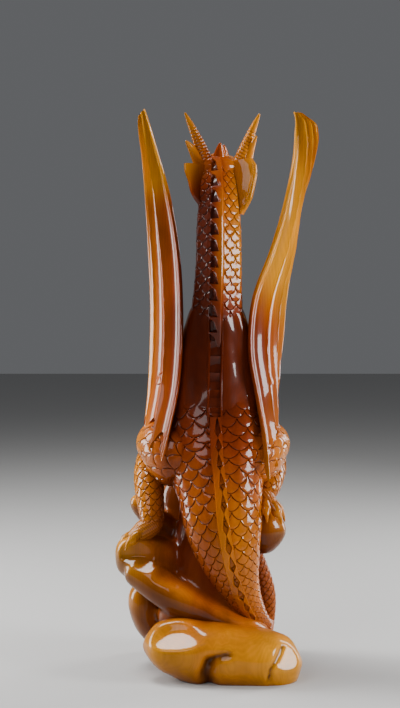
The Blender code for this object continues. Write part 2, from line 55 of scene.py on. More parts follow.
NODE = "dragon_carving"
BODY = "root"

# The figure's own unit, a six-hundredth of its height, and the middle of its box seen from the log's axis
UNIT = round(cad_box[1][2] - cad_box[0][2], 3) / 600
MIDDLE = (1.65, 2.8)
ORIGIN = UNIT * np.array((*MIDDLE, 0.0))

ACROSS = np.array((1.0, 0.0, 0.0))
AHEAD = np.array((0.0, 1.0, 0.0))
BELLY_ANGLE = 2.1  # from the back, in radians, where the scales give way to the belly
BELLY_BLEND = 0.15  # how far past it they fade out
NECK_SCALES_END = 374  # height at which the neck's scales end
TAIL_SCALES = (0.03, 0.07)  # shares of the tail between which its scales rise
MM = 0.001

# A station of a tube is its centre x, y, z, its half width, and its half depth on the back and on the front.
NECK = [
    (3, 20, 548, 13, 12, 12),
    (3, 11, 528, 18, 17, 18),
    (4, 3, 502, 21, 20, 20),
    (4, -2, 468, 23.5, 22, 21),
    (4, -3, 437, 24, 23, 22),
    (3, -1, 405, 25.5, 24, 24),
    (2, 4, 375, 28, 25, 28),
    (2, 10, 345, 28, 22, 28),
]
TORSO = [
    (3, 2, 404, 21, 19, 22),
    (2, 5, 378, 31, 24.5, 28),
    (2, 10, 348, 40, 28, 38),
    (1, 10, 308, 44, 29, 43),
    (1, 6, 274, 49, 33, 42),
    (2, 0, 240, 52, 38, 38),
]
TAIL = [
    (1, 9, 292, 42, 27, 37),
    (1, 4, 262, 51, 35.5, 40),
    (2, 0, 238, 54, 40, 38),
    (3, -8, 213, 51, 40, 34),
    (6, -18, 188, 45, 36, 30),
    (9, -28, 157, 41, 32, 26),
    (15, -32, 126, 33, 27, 22),
    (24, -30, 95, 23.5, 21, 18),
    (34, -25, 74, 17, 16, 14),
    (46, -17, 54, 12, 12, 11),
    (52, -10, 47, 10, 9, 9),
]
TAIL_END = [
    (44, -18, 58, 10.5, 10, 9),
    (51, -6, 42, 11, 10, 9),
    (53, 8, 46, 11, 10, 9),
    (54, 12, 76, 11.5, 10, 9),
    (48, 12, 104, 9.5, 9, 9),
    (40, 9, 128, 6.5, 6, 6),
    (33, 4, 142, 2.5, 2.5, 2.5),
]
LEFT_THIGH = [
    (-16, -4, 214, 36),
    (-42, 4, 230, 35),
    (-57, 18, 238, 29),
    (-66, 34, 232, 21),
    (-69, 40, 224, 16),
]
LEFT_SHIN = [
    (-66, 40, 232, 16),
    (-71, 19, 208, 16.5),
    (-70, -1, 186, 15),
    (-67, -13, 164, 12.5),
    (-66, -17, 152, 10),
]
LEFT_FOOT = [(-58, -16, 164, 10), (-71, -13, 153, 11.5), (-81, -8, 144, 10.5), (-90, -3, 136, 8)]
RIGHT_THIGH = [
    (16, -4, 214, 36),
    (42, 4, 230, 33),
    (55, 18, 238, 27),
    (62, 34, 232, 19),
    (63, 40, 226, 14),
]
RIGHT_SHIN = [(60, 38, 234, 15), (60, 18, 213, 17), (57, -2, 196, 13.5), (54, -12, 184, 10)]
RIGHT_FOOT = [(46, -10, 190, 9), (54, -15, 184, 9.5), (62, -17, 177, 8)]
FORELEG = [
    (28, 14, 334, 18),
    (48, 26, 302, 17),
    (56, 40, 268, 13),
    (48, 56, 248, 11.5),
    (36, 70, 234, 10.5),
    (32, 78, 230, 8),
]
# Each toe ends in a claw. Its row is the place of its root, its heading and its slope down in degrees.
TOE_LENGTH = 20
TOE_RADIUS = 5.2
CLAW_LENGTH = 9
LEFT_TOES = [((-76, -14, 147), -146, 27), ((-82, -6, 145), 178, 29), ((-80, 2, 145), 146, 27)]
RIGHT_TOES = [((52, -18, 183), -82, 40), ((57, -17, 181), -42, 44), ((57, -10, 182), -4, 46)]
FORE_TOES = [((29, 70, 233), 118, 22), ((34, 73, 233), 88, 24), ((40, 69, 234), 55, 24)]

SKULL = [
    (3, 0, 541, 13, 13, 9),
    (3, 14, 542, 20, 19, 7),
    (3, 32, 542, 21, 19, 12),
    (3, 50, 536, 17, 13, 12),
    (3, 68, 530, 13.5, 9, 9),
    (3, 84, 527, 12, 8, 8),
    (3, 93, 525, 8, 5, 5),
]
JAW = [(3, 12, 530, 15, 12, 8), (3, 36, 520, 13.5, 7, 7), (3, 60, 514, 11, 5, 5), (3, 84, 511, 8, 4, 4)]
# The ridge across the back of the head, which carries the horns
SADDLE = [(-18, 16, 536, 7), (3, 13, 537, 13), (27, 18, 538, 6)]
# These stand on both sides of the head, with x counted from its middle. An eye and a nostril have one radius.
BROW = [(13, 26, 547, 3), (15, 40, 546, 5), (12, 56, 542, 3)]
CHEEK = [(17, 12, 532, 6), (17, 30, 528, 6.5), (13, 48, 524, 4)]
EYE = (17.5, 46, 539.5, 6.0)
NOSTRIL = (6.5, 86, 533, 4)
CHIN_BEARD = [(3, 66, 514, 4.5), (3, 74, 502, 3.5), (3, 77, 490, 1)]
# The horns and the two spikes on the crown: root, tip, radius at the root and number of rings cut round it
HORNS = [
    ((-8, 14, 540), (-32, 4, 594), 7.4, 12),
    ((25, 15, 537), (47.5, 4, 593), 7.6, 12),
    ((-14, 14, 538), (-31, 2, 564), 7.5, 0),
    ((33, 14, 540), (44, 2, 569), 5.5, 0),
    ((4, 13, 526), (5.5, 4, 562), 12.0, 0),
    ((11, 14, 532), (9.5, 8, 560), 7.5, 0),
]
HORN_BEND = (0.0, 3.0, 2.0)  # how far its middle stands off the straight line
HORN_TAPER = 0.78  # 1 is a straight cone, and less is fuller towards the tip
HORN_TIP = 0.9  # the radius left at its tip
RINGED_SHARE = 0.72  # the share of its length that the rings take

# A wing or a frill is a sheet between its rear edge and its front edge: x, y, z of each, from low to high.
LEFT_WING = [
    (-57, -40, 226, -77, 38, 258),
    (-49, -29, 260, -74, 47, 288),
    (-41, -17, 296, -72.5, 55, 318),
    (-36.5, -12, 342, -71.5, 58, 350),
    (-36, -10, 395, -71, 55, 396),
    (-39.5, -6, 447, -73, 48, 449),
    (-48.5, -1, 500, -75.5, 36, 502),
    (-63, 6, 553, -79, 22, 553),
    (-70.5, 9, 582, -82, 16, 577),
    (-75.5, 11, 599, -82.5, 13, 591),
]
RIGHT_WING = [
    (57, -40, 204, 64, 30, 250),
    (53, -31, 248, 64, 44, 286),
    (45, -17, 292, 70, 55, 314),
    (37, -12, 340, 75, 58, 348),
    (41, -10, 395, 79, 55, 396),
    (60.5, -6, 447, 87, 48, 449),
    (77, -2, 500, 94, 38, 502),
    (85, 6, 548, 108, 24, 548),
    (85.5, 10, 574, 111, 16, 574),
    (86, 12, 588, 106, 14, 586),
    (84.5, 12, 596, 93, 14, 593),
]
# Where each wing's fingers stand, at its foot and at its tip, as shares from its rear edge to its front one
LEFT_FINGERS = ((0.0, 0.29, 0.64, 1.0), (0.0, 0.42, 0.74, 1.0))
RIGHT_FINGERS = ((0.0, 0.30, 0.60, 0.82, 1.0), (0.0, 0.42, 0.68, 0.90, 1.0))
LEFT_FRILL = [
    (-9, 4, 494, -13, -5, 492),
    (-11, 6, 508, -24, -4, 507),
    (-11, 8, 524, -29, -1, 523),
    (-10, 8, 533, -32.5, 1, 533),
    (-8, 8, 539, -33, 3, 540),
]
RIGHT_FRILL = [
    (22, 6, 486, 29, -5, 486),
    (19, 8, 500, 39, -4, 503),
    (18, 10, 515, 42, -2, 518),
    (19, 12, 530, 44, 1, 530),
    (19, 12, 537, 44, 4, 539),
    (19, 12, 542, 40, 8, 546),
]
# The knurled rim along the right frill's outer edge
FRILL_RIM = [
    (26, -4, 486, 2.5),
    (36, -4, 503, 3.2),
    (39.5, -2, 518, 3.4),
    (41.5, 1, 530, 3.2),
    (41, 5, 541, 2.6),
]
# The bone at the root of the right wing. The left one is its mirror image.
ARM = [(22, 22, 352, 14), (40, 33, 324, 11), (53, 42, 304, 8)]

# The rock: a tube's half depths are above and below where it lies level.
ROCKS = {
    "slab": (AHEAD, [
        (-76, -50, 34, 9, 10, 10),
        (-67, -51, 34, 24, 22, 20),
        (-48, -51, 33, 34, 29, 29),
        (-12, -51, 30, 38, 32, 41),
        (25, -51, 26, 39, 31, 45),
        (60, -50, 22, 37, 27, 45),
        (82, -49, 16, 28, 19, 40),
        (92, -47, 14, 14, 10, 20),
    ]),
    "rock_core": (ACROSS, [
        (-6, 8, -30, 56, 42, 62),
        (-6, 8, 40, 54, 40, 60),
        (-4, 10, 90, 50, 40, 52),
        (0, 10, 140, 43, 34, 46),
        (1, 6, 185, 40, 26, 42),
        (1, 4, 218, 34, 22, 34),
    ]),
    "front_slab": (AHEAD, [
        (-74, 48, 22, 12, 12, 16),
        (-60, 52, 24, 27, 26, 36),
        (-24, 57, 26, 33, 30, 45),
        (14, 56, 28, 34, 32, 45),
        (40, 52, 24, 28, 28, 45),
        (52, 50, 20, 12, 12, 24),
    ]),
    "front_boulder": (AHEAD, [
        (-54, 40, 78, 12, 14, 16),
        (-38, 46, 82, 27, 30, 34),
        (2, 54, 92, 32, 36, 40),
        (34, 48, 100, 28, 30, 34),
        (50, 42, 102, 12, 14, 14),
    ]),
    "front_rock": (ACROSS, [
        (-6, 38, 90, 46, 30, 34),
        (-12, 44, 140, 42, 28, 30),
        (-8, 50, 178, 52, 28, 26),
        (2, 56, 206, 43, 24, 26),
        (2, 60, 224, 38, 16, 20),
    ]),
    "left_boulder": (AHEAD, [
        (-20, 12, 100, 26, 30, 30),
        (-55, 4, 112, 27, 28, 28),
        (-86, 0, 116, 28, 28, 30),
        (-108, -2, 110, 13, 15, 19),
    ]),
    "left_root": (AHEAD, [
        (-92, -8, 112, 16, 16, 16),
        (-66, -24, 97, 18, 20, 20),
        (-34, -33, 80, 19, 17, 22),
        (2, -36, 63, 19, 14, 22),
        (36, -34, 46, 16, 12, 18),
    ]),
    "low_rock": (AHEAD, [
        (-62, -12, 62, 12, 12, 12),
        (-44, -20, 60, 20, 17, 22),
        (-10, -28, 56, 24, 17, 24),
        (30, -28, 48, 24, 15, 22),
        (58, -20, 42, 14, 10, 14),
    ]),
    "left_lump": (ACROSS, [
        (-50, 16, 24, 14, 18, 16),
        (-63, 12, 40, 19, 25, 25),
        (-76, 8, 66, 19, 22, 24),
        (-70, 8, 92, 14, 16, 18),
    ]),
    "left_knob": (AHEAD, [(-36, 20, 130, 18), (-66, 24, 156, 15), (-82, 23, 173, 12), (-91, 22, 180, 7)]),
    "right_knob": (AHEAD, [
        (2, 14, 146, 22, 22, 22),
        (34, 4, 149, 20, 24, 24),
        (60, -4, 148, 22, 26, 25),
        (78, -7, 147, 11, 13, 12),
    ]),
    "right_root": (ACROSS, [
        (26, 22, -30, 28, 34, 34),
        (26, 20, 30, 26, 26, 30),
        (26, 14, 80, 24, 22, 28),
        (30, 10, 120, 18, 18, 24),
    ]),
}

# Flat cuts on the rock: x and z of their middle, the way they look, their reach and depth
FACETS = {
    "slab": [
        ((-41, 42), (-0.18, -0.57, 0.80), 34, 3.2),
        ((78, 22), (0.51, -0.76, 0.40), 24, 3.0),
    ],
    "rock": [
        ((-84, 118), (-0.15, -0.60, 0.78), 26, 3.0),
        ((-44, 100), (0.10, -0.55, 0.83), 24, 2.5),
    ],
}
FACING = 0.8  # how squarely the middle of a flat cut looks its way, 1 being straight

# Cuts in the slab's face, two that a knot left and a crack: x and z of their points, half width and depth
SLITS = [
    ([(13, 33), (2, 31), (-5, 26)], 3.2, 4.5),
    ([(-6, 24), (-9, 13), (-5, -4)], 7.0, 11.0),
    ([(69, 38), (63, 27), (55, 17), (56, 6)], 1.6, 3.5),
]
SLAB_FACE = -70  # what lies behind this y takes no slit
ROCK_SIDES = 72
TOOLING_SCALE = 30.0
TOOLING_DEPTH = 2.6 * MM
# How strongly the undersides of each piece of the rock are darkened with painted shade, and the most painted
# shade at one place
ROCK_UNDERSIDE_SHADE = {"slab": 0.5, "rock": 1.15}
MOST_UNDERSIDE_SHADE = 0.85
# How finely forms are joined into one skin, and how many times it is softened
ROCK_SKIN = (1.9 * MM, 8)
HEAD_SKIN = (0.9 * MM, 4)

# Carving of a scale: share of the way from under the one above it to its free edge, height in mm, darkness
SCALE_PROFILE = [
    (0.00, -0.55, 1.0),
    (0.05, -0.45, 0.9),
    (0.11, -0.05, 0.0),
    (0.35, 0.15, 0.0),
    (0.70, 0.35, 0.0),
    (0.95, 0.45, 0.0),
    (1.00, 0.25, 0.3),
]
SCALE_POINT = 0.97  # how far a scale reaches past its widest place, in half widths
SCALE_ROUND = 1.55  # 2 is a round free edge, 1 a pointed one
LIP_GAP = 0.035  # half the width of the cut at a free edge, in half widths
SCALE_COLUMNS = 12  # columns of points across a scale
FACE_TURN = 0.68  # how far from the back the neck's flat faces look, in radians
FACE_HALF = 0.55  # half of a flat face's reach, in radians
FACE_WIDTH = NECK[3][3]  # the neck's half width that a flat face is cut from
CELL = (0.0, 0.05, 0.3, 0.6, 0.85, 0.97)  # shares along a cell of the crest where it has a row of points
# One plate of the belly: the share of its length, height in mm, darkness
PLATE_PROFILE = [(0.0, -0.4, 0.9), (0.08, 0.1, 0.3), (0.5, 1.4, 0.0), (0.9, 2.3, 0.0), (0.98, 1.9, 0.1)]
PLATE_COLUMNS = 25
PLATE_HALF_ANGLE = 0.85
# The hollows beside the spine: how far from the back and how wide, in radians, and how deep in mm
HOLLOW_TURN = 0.62
HOLLOW_WIDTH = 0.30
HOLLOW_DEPTH = 3.0
# A pupil: how far from the eye's back and how wide, in radians, half its height as a share, its depth in mm
PUPIL_TURN = 0.42 * math.pi
PUPIL_WIDTH = 0.40
PUPIL_HEIGHT = 0.16
PUPIL_DEPTH = 0.7
SHEET_RIM = 0.045  # the share of a wing's or a frill's width over which its rim rounds off
TABLE_ROWS = 900  # how finely a tube's stations are read once, and a sheet's edges
SHEET_TABLE_ROWS = 400

# The widest angle between two faces that is still shaded as smooth, in degrees
SCALE_CREASE = 38
CREST_CREASE = 30
SHEET_CREASE = 50

# Wood from the log's heart to its skin, and the dark colour of the stain in the cuts and of the painted shade
WOOD_STOPS = [
    (0.00, (0.045, 0.005, 0.0005)),
    (0.26, (0.085, 0.010, 0.0005)),
    (0.42, (0.190, 0.024, 0.0005)),
    (0.57, (0.310, 0.062, 0.0005)),
    (0.72, (0.400, 0.112, 0.0005)),
    (0.88, (0.480, 0.172, 0.0005)),
    (1.00, (0.550, 0.215, 0.0005)),
]
STAIN_AND_SHADE_COLOUR = (0.032, 0.0035, 0.0005)
STAIN_AND_SHADE_SHARE = 0.88
LOG_RADIUS = 0.110
RING_WANDER = 0.050
RING_TURN = 2400.0  # radians a metre, which is a growth ring every 2.6 mm
# Where the wood turns paler, in its own tone and, on the neck's right, with painted light: where it starts
# and where it is done, in metres. The third number is how far out in the log the paler wood is taken from.
# The last two say which share of the first is used.
PALE_UP = (0.350, 0.440, 0.055)
PALE_DOWN = (0.260, 0.180, 0.006)
# The neck's right side is painted paler: painted light falling from the right
RIGHT_SIDE_PAINTED_LIGHT = (-0.014, 0.008, 1.0)
PALE_CROWN = (0.490, 0.540, 1.0)
VARNISH = {
    "IOR": 1.5,
    "Specular IOR Level": 0.05,
    "Coat Weight": 0.65,
    "Coat Roughness": 0.06,
    "Coat IOR": 1.40,
}

# The photograph's camera: its place behind the carving, its tilt down, its lens and its framing
CAMERA_DISTANCE = 1600
CAMERA_HEIGHT = 400
CAMERA_TILT = 2.2553
SENSOR_HEIGHT = 36
LENS = 76.106
SHIFT = -15 / 708

# The studio
FLOOR_HALF = 6
FLOOR_COLOUR = (0.46, 0.455, 0.445, 1)
ROOM_COLOUR = (0.80, 0.82, 0.86, 1)
ROOM_LIGHT = 0.15
LIT_PLACE = (0, 0, 0.30)
# Each soft box: its place, its width and height, and its power
SOFT_BOXES = {
    "soft_box_left": ((-1.25, 0.34, 0.60), (0.40, 1.10), 28),
    "soft_box_right": ((1.40, -0.48, 0.60), (0.50, 0.55), 26),
    "soft_box_behind": ((1.10, 0.75, 0.60), (0.35, 1.10), 18),
    "soft_box_top": ((-0.50, 0.25, 1.60), (0.55, 0.55), 26),
    "soft_box_camera": ((-1.05, -1.50, 1.70), (1.10, 1.10), 17),
}


def read_curve(rows, at):
    """Rows of numbers, the first three a place, read at shares of a smooth curve through them."""
    rows = np.array(rows, float)
    reach = np.concatenate([[0.0], np.cumsum(np.linalg.norm(np.diff(rows[:, :3], axis=0), axis=1))])
    slope = np.gradient(rows, reach, axis=0)
    place = np.clip(at, 0, 1) * reach[-1]
    i = np.clip(np.searchsorted(reach, place, side="right") - 1, 0, len(rows) - 2)
    span = (reach[i + 1] - reach[i])[:, None]
    t = (place - reach[i])[:, None] / span
    return (
        (2 * t**3 - 3 * t**2 + 1) * rows[i]
        + (t**3 - 2 * t**2 + t) * span * slope[i]
        + (3 * t**2 - 2 * t**3) * rows[i + 1]
        + (t**3 - t**2) * span * slope[i + 1]
    )


def unit(vectors):
    return vectors / np.linalg.norm(vectors, axis=-1, keepdims=True)


def mirrored(stations):
    return [(-row[0], *row[1:]) for row in stations]


def from_back(angle):
    """How far an angle lies from the back, to either side."""
    return np.abs(np.remainder(angle + math.pi, 2 * math.pi) - math.pi)


def fade(value, start, end):
    """0 before start, 1 after end, smooth between."""
    t = np.clip((value - start) / (end - start), 0, 1)
    return t * t * (3 - 2 * t)


def add(name, data):
    made = bpy.data.objects.new(name, data)
    bpy.context.scene.collection.objects.link(made)
    return made


class Tube:
    """A lofted form: a table of its middle line, half sizes and directions, read at shares of its length."""

    def __init__(self, stations, side):
        full = [row if len(row) == 6 else (*row, row[3], row[3]) for row in stations]
        self.shares = np.linspace(0, 1, TABLE_ROWS)
        rows = read_curve(full, self.shares) * UNIT
        tangent = unit(np.gradient(rows[:, :3], axis=0))
        across = unit(side - (tangent @ side)[:, None] * tangent)
        self.table = np.concatenate([rows, across, np.cross(tangent, across)], axis=1)
        steps = np.linalg.norm(np.diff(rows[:, :3], axis=0), axis=1)
        self.reach = np.concatenate([[0.0], np.cumsum(steps)])
        self.girth = math.pi * (rows[:, 3] + (rows[:, 4] + rows[:, 5]) / 2)

    def read(self, at):
        return np.stack([np.interp(at, self.shares, column) for column in self.table.T], axis=-1)

    def place(self, at, angle, rise):
        """Points of the surface at shares of the length and angles from the back, lifted by rise."""
        row = self.read(at)
        out, away = np.sin(angle), np.cos(angle)
        depth = np.where(away > 0, row[..., 4], row[..., 5])
        across = row[..., 6:9] * (out * (row[..., 3] + rise))[..., None]
        back = row[..., 9:12] * (away * (depth + rise))[..., None]
        return row[..., :3] + across + back

    def share_at_height(self, height):
        """The share of the length where the middle line passes a height, given in units."""
        return float(self.shares[np.argmin(abs(self.table[:, 2] - height * UNIT))])

    def round_ends(self, points, at):
        """Draws the rings near both ends in, so that the form ends in a dome."""
        reach = np.interp(at, self.shares, self.reach)
        row = self.read(at)
        share = np.clip(np.minimum(reach, self.reach[-1] - reach) / (0.8 * row[..., 3]), 0.0, 1.0)
        shrink = np.maximum(np.sqrt(1 - (1 - share) ** 2), 0.02)[..., None]
        return row[..., :3] + (points - row[..., :3]) * shrink


def new_piece(name, points, dark=None, flat_ends=False):
    """A closed piece from rings of points. dark says how much each point is darkened: stain in the cuts, and
    painted shade in hollows and on undersides.
    """
    rings, sides = points.shape[:2]
    flat = (points - ORIGIN).reshape(-1, 3)
    faces = []
    for a in range(rings - 1):
        low, high = a * sides, (a + 1) * sides
        faces += [(low + b, low + (b + 1) % sides, high + (b + 1) % sides, high + b) for b in range(sides)]
    last = (rings - 1) * sides
    if flat_ends:
        for start in (0, last):
            end = start + sides - 1
            faces += [(start + b, start + b + 1, end - 1 - b, end - b) for b in range(sides // 2 - 1)]
    else:
        flat = np.concatenate([flat, [flat[:sides].mean(axis=0), flat[last:].mean(axis=0)]])
        for start, middle in ((0, last + sides), (last, last + sides + 1)):
            faces += [(start + b, start + (b + 1) % sides, middle) for b in range(sides)]
    mesh = bpy.data.meshes.new(name)
    mesh.from_pydata(flat.tolist(), [], faces)
    shade = mesh.attributes.new("dark", "FLOAT", "POINT")
    values = np.zeros(len(flat), dtype=np.float32)
    if dark is not None:
        values[: rings * sides] = np.asarray(dark, dtype=np.float32).ravel()
    shade.data.foreach_set("value", values)
    return add(name, mesh)


def tidy_mesh(piece, floor=False):
    """Merges points that fell together, turns the faces out, and cuts off what is below the floor."""
    work = bmesh.new()
    work.from_mesh(piece.data)
    bmesh.ops.remove_doubles(work, verts=work.verts, dist=0.00002)
    bmesh.ops.dissolve_degenerate(work, edges=work.edges, dist=0.00001)
    if floor:
        everything = list(work.verts) + list(work.edges) + list(work.faces)
        cut = bmesh.ops.bisect_plane(
            work, geom=everything, plane_co=(0, 0, 0), plane_no=(0, 0, -1), clear_outer=True
        )
        rim = [part for part in cut["geom_cut"] if isinstance(part, bmesh.types.BMEdge)]
        if rim:
            bmesh.ops.triangle_fill(work, edges=rim, use_beauty=True)
    bmesh.ops.recalc_face_normals(work, faces=work.faces)
    work.to_mesh(piece.data)
    work.free()


def dress(piece, material, crisp=None, floor=False):
    """Finishes a piece and says where it belongs."""
    tidy_mesh(piece, floor)
    piece.data.shade_smooth()
    if crisp is not None:
        piece.data.set_sharp_from_angle(angle=math.radians(crisp))
    piece.data.materials.clear()
    piece.data.materials.append(material)
    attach(piece, BODY)
    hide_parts(NODE)


def smooth_form(name, stations, side, rings, sides, relief=None):
    """A lofted form with rounded ends. relief(at, angle) gives its carving in metres and its darkness."""
    tube = Tube(stations, side)
    at = (1 - np.cos(np.linspace(0, math.pi, rings))) / 2
    at, angle = np.meshgrid(at, np.arange(sides) * 2 * math.pi / sides, indexing="ij")
    rise, dark = relief(at, angle) if relief else (np.zeros_like(at), None)
    return new_piece(name, tube.round_ends(tube.place(at, angle, rise), at), dark)


def keel(angle):
    """Two flat faces that meet along the back, as on a roof."""
    face = np.cos(FACE_HALF) / np.cos(np.clip(angle - FACE_TURN, -FACE_HALF, FACE_HALF))
    return (face - 1) * FACE_WIDTH * UNIT


def scaled_form(name, stations, side, around, columns, covered, depth=1.0, rounded=False, shape=None):
    """A form covered in overlapping scales, so many around it, with columns of points across each of them.
    covered(at, angle) is 1 where there are scales and 0 where it is smooth. shape(angle) lifts the wood."""
    tube = Tube(stations, side)
    scale_width = (tube.girth[1:] + tube.girth[:-1]) / 2 / around
    count = np.concatenate([[0.0], np.cumsum(np.diff(tube.reach) / (scale_width / 2))])
    turn = np.arange(around * columns) / columns
    rows = int(count[-1]) + 1

    def free_edge(row):
        from_middle = np.abs((turn - row % 2 / 2 + 0.5) % 1 - 0.5)
        return row + SCALE_POINT * (1 - (2 * from_middle) ** SCALE_ROUND) ** (1 / SCALE_ROUND)

    place, rise, dark = [], [], []
    for row in range(rows + 1):
        low, high = free_edge(row - 1), free_edge(row)
        gap = np.minimum(LIP_GAP, 0.2 * (high - low))
        for share, height, darkening in SCALE_PROFILE:
            place.append(np.clip(low + gap + (high - low - 2 * gap) * share, 0, count[-1]))
            rise.append(np.full(len(turn), height * depth * MM))
            dark.append(np.full(len(turn), darkening))
    at = np.interp(np.array(place), count, tube.shares)
    angle = np.broadcast_to(2 * math.pi * turn / around, at.shape)
    turned = from_back(angle)
    mask = covered(at, turned)
    lift = shape(turned) if shape else 0.0
    points = tube.place(at, angle, np.array(rise) * mask + lift)
    if rounded:
        points = tube.round_ends(points, at)
    return new_piece(name, points, np.array(dark) * mask)


def hollow_back(at, angle):
    """Two long hollows beside the spine, cut by hand, so not quite even."""
    beside = np.exp(-(((from_back(angle) - HOLLOW_TURN) / HOLLOW_WIDTH) ** 2))
    hollow = beside * np.sin(math.pi * np.clip(at * 1.1, 0, 1)) ** 0.5
    tooling = np.sin(at * 31 + np.sin(angle * 5)) * np.sin(angle * 9 + at * 13) * 0.25
    return (tooling - HOLLOW_DEPTH * hollow) * MM, hollow * 0.1


def everywhere(at, angle):
    return np.ones_like(at)


def spine(name, stations, start, end, pitch_start, pitch_end, section, along=CELL):
    """A carved band along the back of a tube, made of cells. section(t, size) gives, at a share t of a cell,
    rows of offset across in mm, height in mm and darkness. The cells go from one pitch in mm to the other."""
    tube = Tube(stations, ACROSS)
    length = np.interp([start, end], tube.shares, tube.reach)
    places, reach = [], length[0]
    while reach < length[1]:
        share = (reach - length[0]) / (length[1] - length[0])
        pitch = (pitch_start + (pitch_end - pitch_start) * share) * MM
        places += [(reach + pitch * t, t) for t in along]
        reach += pitch
    points, dark = [], []
    for reach, t in places:
        at = np.interp(min(reach, tube.reach[-1]), tube.reach, tube.shares)
        width = np.interp(at, tube.shares, tube.table[:, 3])
        size = min(width / (22 * UNIT), 1.0)
        rows = np.array(section(t, size))
        angle = rows[:, 0] * MM / width
        points.append(tube.place(np.full(len(rows), at), angle, rows[:, 1] * MM))
        dark.append(rows[:, 2])
    return new_piece(name, np.array(points), np.array(dark))


def neck_teeth(t, size):
    """One tooth of the neck's crest: a ledge where it starts, then a face that narrows down to a thin ridge
    on the right, beside a dark notch that widens. The notch's darkness is stain and painted shade together."""
    if t < 0.08:
        pit, face, floor = -7.6, -7.2, 3.6
    else:
        pit, face, floor = -4.2 - 4.0 * t, -4.0 + 4.6 * t, -0.4
    high = 5.4
    # The notch is darkened with stain and painted shade together
    darkening = 0.0 if t < 0.08 else 1.0
    return [
        (-8.6 * size, -3.5, 0.8),
        (-9.0 * size, 0.1, 0.5),
        (pit * size, floor - 0.8 * darkening, darkening),
        ((face - 0.5) * size, floor + 2.2 * darkening, darkening),
        (face * size, high * 0.9, 0.2 * darkening),
        ((face + 0.7) * size, high, 0.0),
        (2.6 * size, high + 0.3, 0.0),
        (3.6 * size, high - 0.3, 0.0),
        (6.0 * size, 0.3, 0.2),
        (5.6 * size, -3.5, 0.8),
    ]


def back_ladder(t, size):
    """One cell between the two rails down the torso: a lit ledge that falls into a hollow darkened with
    painted shade.
    """
    step = 1.9 - 3.6 * t**0.8
    # The hollow is darkened with painted shade, the more the deeper it falls
    darkening = min(1.3 * t, 1.0)
    return [
        (-9.0, -3.5, 0.6),
        (-9.4, 0.0, 0.4),
        (-8.2, 2.4, 0.0),
        (-7.2, 2.4, 0.0),
        (-6.4, min(step, 1.2), darkening),
        (-2.0, step, darkening),
        (2.4, step, darkening),
        (4.0, min(step, 1.2), darkening),
        (4.8, 2.4, 0.0),
        (5.8, 2.4, 0.0),
        (7.0, 0.0, 0.4),
        (6.6, -3.5, 0.6),
    ]


def tail_pits(t, size):
    """One cell of the tail's crest: a broad flat rail on the left and a diamond pit, darkened with painted
    shade, beside a thin rail.
    """
    widest = 0.62
    open_wide = max(1 - abs(t - widest) / (widest if t < widest else 0.3), 0.0)
    middle = 1.2 * size
    pit = 3.8 * size * open_wide
    high = 3.0 * size
    # The pit is darkened with painted shade where it opens widest
    darkening = min(open_wide * 3, 1.0)
    depth = high * 0.9 - darkening * (high + 0.6)
    return [
        (-6.8 * size, -3.0, 0.5),
        (-7.2 * size, 0.1, 0.5),
        (-5.6 * size, high, 0.0),
        (middle - pit - 0.2, high * 1.05, 0.0),
        (middle - pit * 0.25, depth - 0.8, darkening),
        (middle + pit * 0.25, depth - 0.8, darkening),
        (middle + pit + 0.2, high, 0.0),
        (5.2 * size, high * 0.9, 0.0),
        (6.4 * size, 0.1, 0.5),
        (6.0 * size, -3.0, 0.5),
    ]


def belly(name, stations, start, end, pitch):
    """Broad plates across the front of a tube, each overlapping the next. pitch is in mm."""
    tube = Tube(stations, ACROSS)
    length = np.interp([start, end], tube.shares, tube.reach)
    count = max(round((length[1] - length[0]) / (pitch * MM)), 1)
    across = np.linspace(-1, 1, PLATE_COLUMNS)
    outer_angle = math.pi + PLATE_HALF_ANGLE * across
    inner_angle = math.pi + PLATE_HALF_ANGLE * 0.95 * across[::-1]
    edge = np.sqrt(np.clip(1 - np.abs(across) ** 8, 0, 1))
    rings, darkening = [], []
    for n in range(count):
        for t, height, dark in PLATE_PROFILE:
            reach = length[0] + (length[1] - length[0]) * (n + t) / count
            at = np.full(PLATE_COLUMNS, np.interp(reach, tube.reach, tube.shares))
            outer = tube.place(at, outer_angle, height * MM * edge - 0.4 * MM)
            inner = tube.place(at, inner_angle, np.full(PLATE_COLUMNS, -5 * MM))
            rings.append(np.concatenate([outer, inner]))
            darkening.append(np.concatenate([np.full(PLATE_COLUMNS, dark), np.ones(PLATE_COLUMNS)]))
    return new_piece(name, np.array(rings), np.array(darkening), flat_ends=True)


def pleats(share, fingers):
    """Height across a wing: 0 on a finger and down to about -1 between two, deeper if they are far apart."""
    height = np.zeros_like(share)
    for a, b in zip(fingers[:-1], fingers[1:]):
        t = np.clip((share - a) / np.maximum(b - a, 0.01), 0, 1)
        hollow = -(np.sin(math.pi * t) ** 0.85) * np.minimum(0.35 + 1.6 * (b - a), 1.1)
        height = np.where((share >= a) & (share <= b), hollow, height)
    return height


